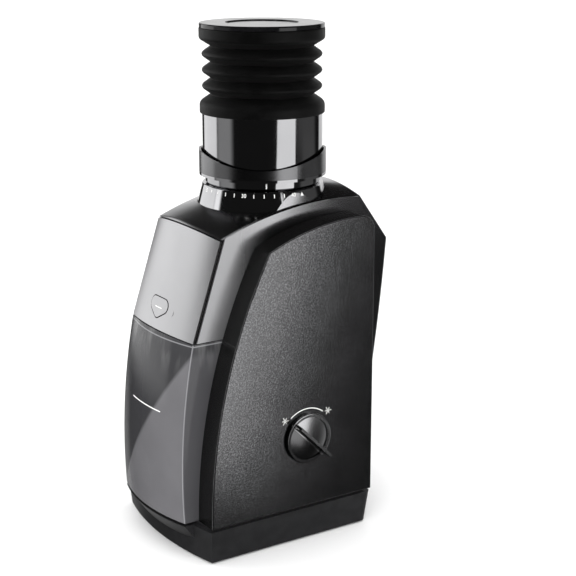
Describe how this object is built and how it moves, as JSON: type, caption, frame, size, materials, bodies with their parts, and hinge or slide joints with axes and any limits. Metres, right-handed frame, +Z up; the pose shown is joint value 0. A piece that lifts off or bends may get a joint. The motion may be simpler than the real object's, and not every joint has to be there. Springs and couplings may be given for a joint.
{
  "type": "burr coffee grinder",
  "caption": "Tall electric burr coffee grinder with a bean tube and ribbed bellows on top, a numbered grind collar, a front bin for the grounds, a side power knob and a pulse button.",
  "frame": {"origin": "where the vertical burr axis meets the surface that the grinder stands on", "axes": "+Z up along the burr axis, -Y towards the front panel and bin, +X towards the power knob's side"},
  "size_m": [0.1322, 0.1685, 0.3394],
  "materials": {
    "gloss_black": "high gloss moulded plastic",
    "satin_panel": "satin dark silver paint on a metal plate",
    "satin_black": "fine-grained satin plastic",
    "base_black": "semi-gloss moulded plastic",
    "smoke_clear": "translucent smoky plastic",
    "silicone": "matt silicone",
    "foot_rubber": "matt rubber",
    "dark_metal": "polished dark metal",
    "anodised": "satin dark anodised",
    "steel": "machined steel",
    "cast_alloy": "bead-blasted casting",
    "motor_steel": "zinc-plated steel",
    "magnet": "ferrite",
    "gear_nylon": "natural nylon",
    "frame_plastic": "glass-filled plastic",
    "pinion_brass": "cut brass",
    "board": "lacquered circuit board",
    "pale_plastic": "switch housing plastic"
  },
  "bodies": {
    "housing": {"base_tray": "base_black", "foot_ring": "foot_rubber", "base_screws": "steel", "cord_gland": "base_black", "inner_frame": "frame_plastic", "main_housing": "gloss_black", "left_cheek": "satin_black", "right_cheek": "satin_black", "front_panel": "satin_panel", "pulse_switch": "board", "gearbox_base": "cast_alloy", "gearbox_cover": "cast_alloy", "gearbox_screws": "steel", "cluster_pin": "steel", "drive_bearings": "steel", "motor_can": "motor_steel", "motor_end_cap": "frame_plastic", "motor_magnets": "magnet", "motor_screws": "steel", "burr_chamber": "cast_alloy", "chamber_screws": "steel", "chute": "frame_plastic", "scale_collar": "gloss_black", "rotary_switch": "pale_plastic", "circuit_board": "board"},
    "knob": {"power_knob": "gloss_black", "knob_spindle": "steel"},
    "button": {"pulse_button": "satin_panel"},
    "bin": {"grounds_bin": "smoke_clear"},
    "adjuster": {"adjusting_ring": "anodised"},
    "hopper": {"hopper_adapter": "anodised", "hopper_ring": "anodised", "hopper_tube": "dark_metal"},
    "bellows_body": {"bellows": "silicone"},
    "lid_body": {"lid": "gloss_black"},
    "outer_burr": {"ring_burr": "steel", "ring_burr_holder": "frame_plastic", "burr_seal": "silicone"},
    "rotor": {"motor_rotor": "steel", "motor_pinion": "pinion_brass"},
    "cluster": {"cluster_gear": "gear_nylon"},
    "drive": {"drive_shaft": "steel", "drive_gear": "steel", "grounds_wiper": "frame_plastic", "cone_burr": "steel", "burr_nut": "steel"}
  },
  "joints": [
    {"name": "knob_turn", "type": "hinge", "parent": "housing", "child": "knob", "pos_m": [0.0602, -0.004, 0.074], "axis": [-1, 0, 0], "range_deg": [0, 90]},
    {"name": "pulse_press", "type": "slide", "parent": "housing", "child": "button", "axis": [0, 0.9498, -0.3127], "range_m": [0, 0.0025], "stiffness_N_per_m": 400, "springref_m": -0.002},
    {"name": "bin_slide", "type": "slide", "parent": "housing", "child": "bin", "axis": [0, -1, 0], "range_m": [0, 0.13]},
    {"name": "grind_turn", "type": "hinge", "parent": "housing", "child": "adjuster", "pos_m": [0, 0, 0.2072], "axis": [0, 0, 1], "range_deg": [-156, 27.6]},
    {"name": "hopper_lift", "type": "slide", "parent": "adjuster", "child": "hopper", "axis": [0, 0, 1], "range_m": [0, 0.06]},
    {"name": "bellows_lift", "type": "slide", "parent": "hopper", "child": "bellows_body", "axis": [0, 0, 1], "range_m": [0, 0.06]},
    {"name": "bellows_press", "type": "slide", "parent": "bellows_body", "child": "lid_body", "axis": [0, 0, -1], "range_m": [0, 0.024], "stiffness_N_per_m": 150, "springref_m": -0.01, "deforming": ["bellows"]},
    {"name": "outer_burr_height", "type": "slide", "parent": "housing", "child": "outer_burr", "axis": [0, 0, 1], "range_m": [-0.0013, 0.00025]},
    {"name": "motor_spin", "type": "hinge", "parent": "housing", "child": "rotor", "pos_m": [0, 0.024, 0.1542], "axis": [0, 0, 1], "continuous": true},
    {"name": "cluster_spin", "type": "hinge", "parent": "housing", "child": "cluster", "pos_m": [0.01933, 0.01885, 0.1542], "axis": [0, 0, 1], "continuous": true},
    {"name": "drive_spin", "type": "hinge", "parent": "housing", "child": "drive", "pos_m": [0, 0, 0.1614], "axis": [0, 0, 1], "continuous": true}
  ],
  "couplings": [
    {"joint": "cluster_spin", "follows": "motor_spin", "ratio": -0.25},
    {"joint": "drive_spin", "follows": "motor_spin", "ratio": 0.071429},
    {"joint": "outer_burr_height", "follows": "grind_turn", "m_per_rad": 0.00046}
  ]
}
